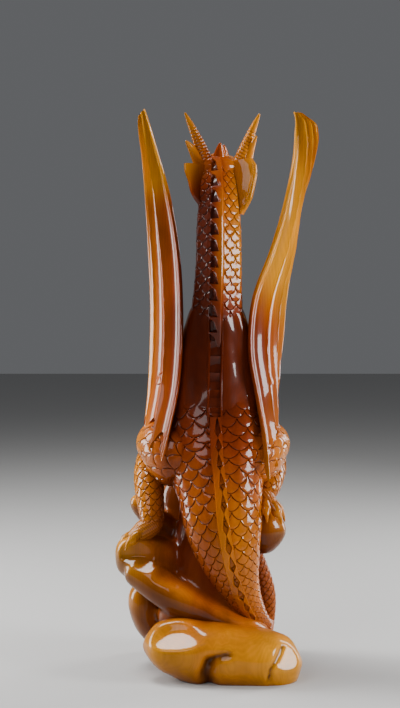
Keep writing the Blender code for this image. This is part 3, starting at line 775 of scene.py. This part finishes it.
def sheet(name, edges, outward, fingers, rows, columns, thickness, ridge, bulge, full, scallop=0.0):
    """A wing or a frill: a pleated sheet between two edges. outward is its outer face's side, -1 or 1 in x.
    fingers gives where they stand at the low end and at the high end. The low edge is scalloped between them.
    ridge is the pleats' depth where the sheet is wider than full. bulge and full are in units."""
    shares = np.linspace(0, 1, SHEET_TABLE_ROWS)
    table = read_curve(edges, shares) * UNIT
    slopes = np.gradient(table, axis=0)
    across = np.linspace(0, 1, columns)
    up = np.linspace(0, 1, rows)[:, None]
    low = -scallop * pleats(across, fingers[0])[None, :]
    at = low + (1 - low) * up
    moved = [a + (b - a) * up**1.3 for a, b in zip(*fingers)]
    height = pleats(np.broadcast_to(across, at.shape), moved)
    read = np.stack([np.interp(at, shares, column) for column in table.T], axis=-1)
    slope = np.stack([np.interp(at, shares, column) for column in slopes.T], axis=-1)
    chord = read[..., 3:] - read[..., :3]
    width = np.linalg.norm(chord, axis=-1)
    along = slope[..., :3] * (1 - across[:, None]) + slope[..., 3:] * across[:, None]
    normal = unit(np.cross(along, chord))
    normal *= np.sign(normal[..., :1]) * outward
    swell = bulge * UNIT * np.sin(math.pi * across) * np.minimum(width / (60 * UNIT), 1)
    size = np.minimum(width / (full * UNIT), 1)
    middle = read[..., :3] + chord * across[:, None] + normal * (swell + ridge * size * height)[..., None]
    rim = np.sqrt(1 - (1 - np.clip(np.minimum(across, 1 - across) / SHEET_RIM, 0, 1)) ** 2)
    half = np.broadcast_to(thickness / 2 * (0.15 + 0.85 * rim), at.shape)[..., None]
    darkening = np.clip(-height - 0.45, 0, 1) * 0.5
    outer, inner = middle + normal * half, middle - normal * half
    points = np.concatenate([outer, inner[:, ::-1]], axis=1)
    return new_piece(name, points, np.concatenate([darkening, darkening[:, ::-1]], axis=1), flat_ends=True)


def horn(name, root, tip, radius, rings):
    """A horn that tapers to a point and bends back a little, with rings cut round its lower part."""
    root, tip = np.array(root, float), np.array(tip, float)
    stations = []
    for share in np.linspace(0, 1, 9):
        place = root + (tip - root) * share + np.array(HORN_BEND) * math.sin(math.pi * share)
        stations.append((*place, radius * (1 - share) ** HORN_TAPER + HORN_TIP))
    tube = Tube(stations, ACROSS)
    at, angle = np.meshgrid(np.linspace(0, 1, 121), np.arange(28) * 2 * math.pi / 28, indexing="ij")
    rise, dark = np.zeros_like(at), np.zeros_like(at)
    if rings:
        cut = np.abs(np.sin(math.pi * rings * at / RINGED_SHARE + 0.5 * np.sin(angle))) ** 0.6
        low = 1 - fade(at, 0.66, 0.74)
        rise = (cut - 0.75) * 0.6 * MM * low
        dark = (1 - cut) ** 2 * low * 1.4
    return new_piece(name, tube.place(at, angle, rise), np.clip(dark, 0, 1))


def toe(name, root, heading, slope):
    """A toe with a claw at its end, from its root outward and down."""
    root = np.array(root, float)
    turn, fall = math.radians(heading), math.radians(slope)
    ahead = np.array((math.cos(turn) * math.cos(fall), math.sin(turn) * math.cos(fall), -math.sin(fall)))
    side = np.array((-math.sin(turn), math.cos(turn), 0.0))
    knuckle = root + ahead * TOE_LENGTH * 0.55 + (0, 0, 2.0)
    end = root + ahead * TOE_LENGTH
    claw = end + (ahead + np.array((0.0, 0.0, -1.0))) * CLAW_LENGTH * 0.6
    stations = [
        (*root, TOE_RADIUS),
        (*knuckle, TOE_RADIUS),
        (*(end - ahead * 1.5), TOE_RADIUS * 0.92),
        (*(end + ahead * 0.8), TOE_RADIUS * 0.62),
        (*claw, TOE_RADIUS * 0.14),
    ]
    return smooth_form(name, stations, side, 30, 20, knuckle_rings)


def knuckle_rings(at, angle):
    """Fine scales across the top of a toe."""
    low = 1 - fade(at, 0.45, 0.6)
    cut = np.abs(np.sin(at * 38 + np.sin(angle * 4))) ** 0.5
    return (cut - 0.7) * 0.5 * MM * low, (1 - cut) * low


def knobbly(at, angle):
    """Small bumps of a foot's skin."""
    bumps = np.abs(np.sin(at * 70 + np.sin(angle * 3) * 1.5) * np.sin(angle * 9 + at * 9)) ** 0.6
    low = fade(at, 0.05, 0.15)
    return (bumps - 0.6) * 0.7 * MM * low, (1 - bumps) ** 2 * 0.8 * low


def round_ball(name, place, radius, relief=None):
    """A round form, for an eye or a nostril."""
    x, y, z = place
    stations = [(x, y, z - radius, radius), (x, y, z, radius), (x, y, z + radius, radius)]
    return smooth_form(name, stations, ACROSS, 40, 48, relief)


def pupil(at, angle):
    """A dark round hollow in the side of an eye."""
    turn = (from_back(angle) - PUPIL_TURN) / PUPIL_WIDTH
    high = (at - 0.5) / PUPIL_HEIGHT
    dark = np.exp(-(turn**2) - high**2)
    return -PUPIL_DEPTH * dark * MM, dark


def melted(name, pieces, voxel, rounds):
    """Several forms joined into one skin, with the seams between them softened."""
    work = bmesh.new()
    for piece in pieces:
        tidy_mesh(piece)
        work.from_mesh(piece.data)
        bpy.data.objects.remove(piece)
    mesh = bpy.data.meshes.new(name)
    work.to_mesh(mesh)
    work.free()
    joined = add(name, mesh)
    skin = joined.modifiers.new("skin", "REMESH")
    skin.mode = "VOXEL"
    skin.voxel_size = voxel
    soft = joined.modifiers.new("soft", "SMOOTH")
    soft.iterations = rounds
    graph = bpy.context.evaluated_depsgraph_get()
    done = bpy.data.meshes.new_from_object(joined.evaluated_get(graph))
    joined.modifiers.clear()
    joined.data = done
    if "dark" not in done.attributes:
        done.attributes.new("dark", "FLOAT", "POINT")
    done.attributes["dark"].data.foreach_set("value", np.zeros(len(done.vertices), dtype=np.float32))
    return joined


def node(tree, kind, **values):
    made = tree.nodes.new(kind)
    for name, value in values.items():
        setattr(made, name, value)
    return made


def math_node(tree, operation, first, second=None, third=None):
    made = node(tree, "ShaderNodeMath", operation=operation)
    for n, value in enumerate((first, second, third)):
        if value is None:
            continue
        if isinstance(value, (int, float)):
            made.inputs[n].default_value = value
        else:
            tree.links.new(value, made.inputs[n])
    return made.outputs[0]


def ramp(tree, value, stops):
    made = node(tree, "ShaderNodeValToRGB")
    points = made.color_ramp.elements
    for point, (place, colour) in zip(points, (stops[0], stops[-1])):
        point.position = place
        point.color = (*colour, 1)
    for place, colour in stops[1:-1]:
        point = points.new(place)
        point.color = (*colour, 1)
    tree.links.new(value, made.inputs[0])
    return made.outputs["Color"]


def smooth_range(tree, value, start, end, top):
    """0 where the value is at start and top where it is at end, smooth between."""
    made = node(tree, "ShaderNodeMapRange", interpolation_type="SMOOTHSTEP")
    tree.links.new(value, made.inputs["Value"])
    made.inputs["From Min"].default_value = start
    made.inputs["From Max"].default_value = end
    made.inputs["To Max"].default_value = top
    return made.outputs[0]


def mix(tree, kind, share, first, second):
    made = node(tree, "ShaderNodeMix", data_type="RGBA", blend_type=kind)
    for socket, value in ((made.inputs[0], share), (made.inputs[6], first), (made.inputs[7], second)):
        if isinstance(value, tuple):
            socket.default_value = (*value, 1)
        elif isinstance(value, (int, float)):
            socket.default_value = value
        else:
            tree.links.new(value, socket)
    return made.outputs[2]


def stretched_noise(tree, place, stretch, scale, detail, twist):
    """Noise drawn out along the log."""
    mapping = node(tree, "ShaderNodeMapping")
    mapping.inputs["Scale"].default_value = stretch
    tree.links.new(place, mapping.inputs["Vector"])
    made = node(tree, "ShaderNodeTexNoise")
    made.inputs["Scale"].default_value = scale
    made.inputs["Detail"].default_value = detail
    made.inputs["Distortion"].default_value = twist
    tree.links.new(mapping.outputs[0], made.inputs["Vector"])
    return made.outputs["Fac"]


def varnished_wood():
    """Varnished wood of one log: dark red heart, orange towards the outside and yellow sapwood at its skin.
    The darkening, stain that stays in the cuts together with painted shade, comes from each point's own
    value."""
    made = bpy.data.materials.new("carved_varnished_wood")
    made.use_nodes = True
    tree = made.node_tree
    shader = tree.nodes["Principled BSDF"]
    place = node(tree, "ShaderNodeTexCoord").outputs["Object"]
    split = node(tree, "ShaderNodeSeparateXYZ")
    tree.links.new(place, split.inputs[0])
    x, y, z = split.outputs
    flow = stretched_noise(tree, place, (1, 1, 0.16), 17, 3, 0.6)
    streaks = stretched_noise(tree, place, (1, 1, 0.05), 120, 4, 0.6)
    blotches = stretched_noise(tree, place, (1, 1, 0.6), 11, 2, 1.2)
    # Distance from the log's axis, with the wander of the growth rings
    square = math_node(tree, "ADD", math_node(tree, "MULTIPLY", x, x), math_node(tree, "MULTIPLY", y, y))
    radius = math_node(tree, "SQRT", square)
    wander = math_node(tree, "MULTIPLY", math_node(tree, "SUBTRACT", flow, 0.5), RING_WANDER)
    radius = math_node(tree, "ADD", radius, wander)
    # The neck's right side is painted paler as painted light from the right, the whole head stands in paler
    # wood than the back, and the tail in slightly paler
    up = smooth_range(tree, z, *PALE_UP)
    down = smooth_range(tree, z, *PALE_DOWN)
    aside = math_node(tree, "ADD", x, math_node(tree, "MULTIPLY", wander, 0.5))
    right = smooth_range(tree, aside, *RIGHT_SIDE_PAINTED_LIGHT)
    crown = smooth_range(tree, z, *PALE_CROWN)
    pale = math_node(tree, "MULTIPLY", up, math_node(tree, "MAXIMUM", right, crown))
    depth = math_node(tree, "ADD", radius, math_node(tree, "ADD", pale, down))
    share = math_node(tree, "DIVIDE", depth, LOG_RADIUS)
    wood = ramp(tree, share, WOOD_STOPS)
    rings = math_node(tree, "SINE", math_node(tree, "MULTIPLY", radius, RING_TURN))
    rings = math_node(tree, "MULTIPLY_ADD", rings, 0.05, 1.0)
    grain = math_node(tree, "MULTIPLY_ADD", streaks, 0.45, 0.78)
    cloud = math_node(tree, "MULTIPLY_ADD", blotches, 1.4, 0.32)
    tone = math_node(tree, "MULTIPLY", math_node(tree, "MULTIPLY", rings, grain), cloud)
    joined = node(tree, "ShaderNodeCombineColor")
    for socket in joined.inputs:
        tree.links.new(tone, socket)
    wood = mix(tree, "MULTIPLY", 1.0, wood, joined.outputs[0])
    # Each point's darkening: stain in the cuts, and painted shade in hollows and on the rock's undersides
    darkening = node(tree, "ShaderNodeAttribute", attribute_name="dark").outputs["Fac"]
    wood = mix(tree, "MIX", math_node(tree, "MULTIPLY", darkening, STAIN_AND_SHADE_SHARE), wood, STAIN_AND_SHADE_COLOUR)
    tree.links.new(wood, shader.inputs["Base Color"])
    rough = math_node(tree, "MULTIPLY_ADD", streaks, 0.20, 0.24)
    tree.links.new(rough, shader.inputs["Roughness"])
    bump = node(tree, "ShaderNodeBump")
    bump.inputs["Strength"].default_value = 0.10
    bump.inputs["Distance"].default_value = 0.0006
    relief = math_node(tree, "ADD", streaks, math_node(tree, "MULTIPLY", blotches, 1.6))
    tree.links.new(relief, bump.inputs["Height"])
    tree.links.new(bump.outputs[0], shader.inputs["Normal"])
    for name, value in VARNISH.items():
        shader.inputs[name].default_value = value
    return made


def rocks(material):
    """The slab, and all the other rocks melted into one."""
    forms = {}
    for name, (side, stations) in ROCKS.items():
        forms[name] = smooth_form(name, stations, side, ROCK_SIDES, ROCK_SIDES)
    slab = forms.pop("slab")
    tidy_mesh(slab)
    for piece in (slab, melted("rock", list(forms.values()), *ROCK_SKIN)):
        roughen(piece, ROCK_UNDERSIDE_SHADE[piece.name])
        for place, normal, reach, depth in FACETS[piece.name]:
            flatten(piece, place, Vector(normal).normalized(), reach * UNIT, depth * UNIT)
        if piece == slab:
            cut_slits(piece)
        dress(piece, material, floor=True)


def flatten(piece, place, normal, reach, depth):
    """A broad cut of the gouge: the wood that stands past a plane near a place, given as x and z, goes."""
    x, z = place[0] * UNIT - ORIGIN[0], place[1] * UNIT
    facing = [v.co for v in piece.data.vertices if v.normal.dot(normal) > FACING and v.co.y < 0]
    spot = min(facing, key=lambda co: (co.x - x) ** 2 + (co.z - z) ** 2).copy()
    for vertex in piece.data.vertices:
        away = vertex.co - spot
        past = away.dot(normal) + depth
        if past > 0 and away.length < reach:
            share = 1 - fade(away.length / reach, 0.6, 1.0)
            vertex.co -= normal * past * share


def cut_slits(piece):
    """Presses the slits into the slab's face and stains them."""
    darkening = piece.data.attributes["dark"].data
    for n, vertex in enumerate(piece.data.vertices):
        if vertex.co.y > SLAB_FACE * UNIT:
            continue
        place = np.array((vertex.co.x + ORIGIN[0], vertex.co.z)) / UNIT
        for points, width, depth in SLITS:
            near = min(distance_to(place, a, b) for a, b in zip(points[:-1], points[1:]))
            dent = math.exp(-((near / width) ** 2))
            vertex.co.y += dent * depth * UNIT
            darkening[n].value = max(darkening[n].value, dent)


def distance_to(place, a, b):
    a, b = np.array(a, float), np.array(b, float)
    share = np.clip(np.dot(place - a, b - a) / np.dot(b - a, b - a), 0, 1)
    return np.linalg.norm(place - a - (b - a) * share)


def roughen(piece, shade):
    """Broad uneven tooling: moves each point along its normal. The undersides are darkened with painted
    shade, the more the further they face down.
    """
    darkening = piece.data.attributes["dark"].data
    normals = [Vector(v.normal) for v in piece.data.vertices]
    for n, (vertex, normal) in enumerate(zip(piece.data.vertices, normals)):
        vertex.co += normal * (noise.noise(vertex.co * TOOLING_SCALE) - 0.4) * TOOLING_DEPTH
        # Painted shade: a point gets darker the more its normal turns down
        darkening[n].value = min(shade * max(0.5 * shade - normal.z, 0.0), MOST_UNDERSIDE_SHADE)


def scaled_limb(material, name, stations, side, around, depth=1.0):
    """A limb with rounded ends, covered in scales all over."""
    limb = scaled_form(name, stations, side, around, SCALE_COLUMNS, everywhere, depth, rounded=True)
    dress(limb, material, SCALE_CREASE)


def bodies(material):
    """The neck, the torso and the tail, with the crest down the back and the plates on the belly."""
    neck_end = Tube(NECK, ACROSS).share_at_height(NECK_SCALES_END)

    def off_belly(angle):
        return 1 - fade(angle, BELLY_ANGLE, BELLY_ANGLE + BELLY_BLEND)

    def on_neck(at, angle):
        return np.where(at < neck_end, 1.0, 0.0) * off_belly(angle)

    def on_tail(at, angle):
        return fade(at, *TAIL_SCALES) * off_belly(angle)

    dress(scaled_form("neck", NECK, ACROSS, 10, 14, on_neck, shape=keel), material, SCALE_CREASE)
    dress(smooth_form("torso", TORSO, ACROSS, 90, 120, hollow_back), material)
    dress(scaled_form("tail", TAIL, ACROSS, 14, SCALE_COLUMNS, on_tail, 1.1), material, SCALE_CREASE)
    scaled_limb(material, "tail_end", TAIL_END, ACROSS, 8, 0.9)
    dress(spine("neck_crest", NECK, 0.05, 0.90, 16, 16, neck_teeth), material, CREST_CREASE)
    dress(spine("back_ladder", TORSO, 0.05, 0.78, 20, 20, back_ladder), material, CREST_CREASE)
    cell = np.linspace(0, 0.98, 13)
    dress(spine("tail_crest", TAIL, 0.10, 0.97, 24, 12, tail_pits, cell), material, CREST_CREASE)
    dress(belly("neck_belly", NECK, 0.22, 0.97, 12), material)
    dress(belly("torso_belly", TORSO, 0.12, 0.95, 14), material)


def legs(material):
    for label, thigh, shin, foot, toes in (
        ("left", LEFT_THIGH, LEFT_SHIN, LEFT_FOOT, LEFT_TOES),
        ("right", RIGHT_THIGH, RIGHT_SHIN, RIGHT_FOOT, RIGHT_TOES),
    ):
        scaled_limb(material, label + "_thigh", thigh, AHEAD, 13)
        scaled_limb(material, label + "_shin", shin, ACROSS, 8)
        dress(smooth_form(label + "_foot", foot, AHEAD, 150, 110, knobbly), material)
        for n, place in enumerate(toes):
            dress(toe(f"{label}_toe_{n}", *place), material)
    for label, hand in (("left", -1), ("right", 1)):
        stations = FORELEG if hand > 0 else mirrored(FORELEG)
        scaled_limb(material, label + "_foreleg", stations, ACROSS, 8, 0.8)
        for n, (root, heading, slope) in enumerate(FORE_TOES):
            if hand < 0:
                root, heading = (-root[0], *root[1:]), 180 - heading
            dress(toe(f"{label}_fore_toe_{n}", root, heading, slope), material)


def wings(material):
    for label, edges, hand, fingers in (
        ("left", LEFT_WING, -1, LEFT_FINGERS),
        ("right", RIGHT_WING, 1, RIGHT_FINGERS),
    ):
        wing = sheet(
            label + "_wing",
            edges,
            hand,
            fingers,
            rows=170,
            columns=161,
            thickness=5 * MM,
            ridge=6.0 * MM,
            bulge=7,
            full=30,
            scallop=0.085,
        )
        dress(wing, material, SHEET_CREASE)
        arm = ARM if hand > 0 else mirrored(ARM)
        dress(smooth_form(label + "_wing_arm", arm, AHEAD, 40, 40), material)


def head(material):
    pieces = [
        smooth_form("skull", SKULL, ACROSS, 60, 48),
        smooth_form("jaw", JAW, ACROSS, 40, 36),
        smooth_form("beard", CHIN_BEARD, ACROSS, 30, 24),
        smooth_form("saddle", SADDLE, AHEAD, 40, 36),
    ]
    middle = SKULL[0][0]
    for hand in (-1, 1):
        for n, rows in enumerate((BROW, CHEEK)):
            stations = [(middle + hand * row[0], *row[1:]) for row in rows]
            pieces.append(smooth_form(f"ridge_{n}_{hand}", stations, ACROSS, 30, 24))
        pieces.append(round_ball(f"nostril_{hand}", (middle + hand * NOSTRIL[0], *NOSTRIL[1:3]), NOSTRIL[3]))
    dress(melted("head", pieces, *HEAD_SKIN), material)
    for label, hand in (("left", -1), ("right", 1)):
        dress(round_ball(label + "_eye", (middle + hand * EYE[0], *EYE[1:3]), EYE[3], pupil), material)
    for n, (root, tip, radius, rings) in enumerate(HORNS):
        dress(horn(f"horn_{n}", root, tip, radius, rings), material)
    for name, edges, bulge, hand in (("left_frill", LEFT_FRILL, -3, -1), ("right_frill", RIGHT_FRILL, -5, 1)):
        frill = sheet(
            name,
            edges,
            hand,
            ((0.0, 1.0), (0.0, 1.0)),
            rows=60,
            columns=61,
            thickness=4.5 * MM,
            ridge=0.5 * MM,
            bulge=bulge,
            full=14,
        )
        dress(frill, material, SHEET_CREASE)
    dress(smooth_form("frill_rim", FRILL_RIM, AHEAD, 110, 40, knobbly), material)


def studio():
    """A pale floor, a neutral room and five soft boxes."""
    mesh = bpy.data.meshes.new("floor")
    corners = [(-FLOOR_HALF, -FLOOR_HALF, 0), (FLOOR_HALF, -FLOOR_HALF, 0)]
    corners += [(FLOOR_HALF, FLOOR_HALF, 0), (-FLOOR_HALF, FLOOR_HALF, 0)]
    mesh.from_pydata(corners, [], [(0, 1, 2, 3)])
    floor = add("floor", mesh)
    pale = bpy.data.materials.new("pale_floor")
    pale.use_nodes = True
    shader = pale.node_tree.nodes["Principled BSDF"]
    shader.inputs["Base Color"].default_value = FLOOR_COLOUR
    shader.inputs["Roughness"].default_value = 0.7
    floor.data.materials.append(pale)
    world = bpy.data.worlds.new("room")
    world.use_nodes = True
    air = world.node_tree.nodes["Background"]
    air.inputs["Color"].default_value = ROOM_COLOUR
    air.inputs["Strength"].default_value = ROOM_LIGHT
    bpy.context.scene.world = world
    for name, (place, size, power) in SOFT_BOXES.items():
        data = bpy.data.lights.new(name, "AREA")
        data.shape = "RECTANGLE"
        data.size, data.size_y = size
        data.energy = power
        light = add(name, data)
        light.location = place
        aim = Vector(LIT_PLACE) - Vector(place)
        light.rotation_euler = aim.to_track_quat("-Z", "Y").to_euler()


def camera():
    data = bpy.data.cameras.new("camera")
    data.sensor_fit = "VERTICAL"
    data.sensor_height = SENSOR_HEIGHT
    data.lens = LENS
    data.shift_x = SHIFT
    eye = add("camera", data)
    eye.location = np.array((0, -CAMERA_DISTANCE, CAMERA_HEIGHT)) * UNIT - ORIGIN
    eye.rotation_euler = (math.radians(90 - CAMERA_TILT), 0, 0)
    bpy.context.scene.camera = eye


camera()
WOOD = varnished_wood()
rocks(WOOD)
bodies(WOOD)
legs(WOOD)
wings(WOOD)
head(WOOD)
studio()
